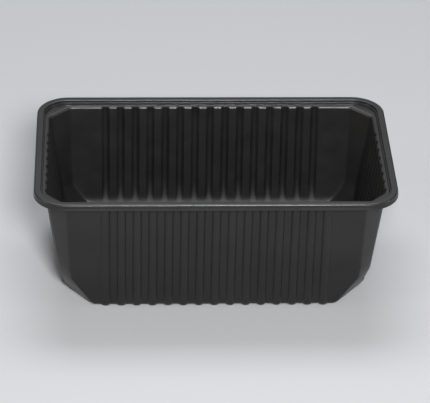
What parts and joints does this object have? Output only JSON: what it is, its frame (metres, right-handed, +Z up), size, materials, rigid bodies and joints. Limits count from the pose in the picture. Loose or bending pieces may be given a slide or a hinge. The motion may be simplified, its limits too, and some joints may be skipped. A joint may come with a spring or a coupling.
{
  "type": "empty ribbed plastic food tray",
  "caption": "Deep rectangular food tray of thin black plastic with a flat sealing rim, ribbed tapering walls and cut-off corners, open at the top.",
  "frame": {"origin": "centre of the flat resting face, under the middle of the rim", "axes": "+X along the long side, +Y towards the short walls' plain end, +Z up towards the open rim"},
  "size_m": [0.187, 0.113, 0.068],
  "materials": {
    "black_sheet": "satin"
  },
  "bodies": {
    "root": {"tray": "black_sheet"}
  },
  "joints": []
}
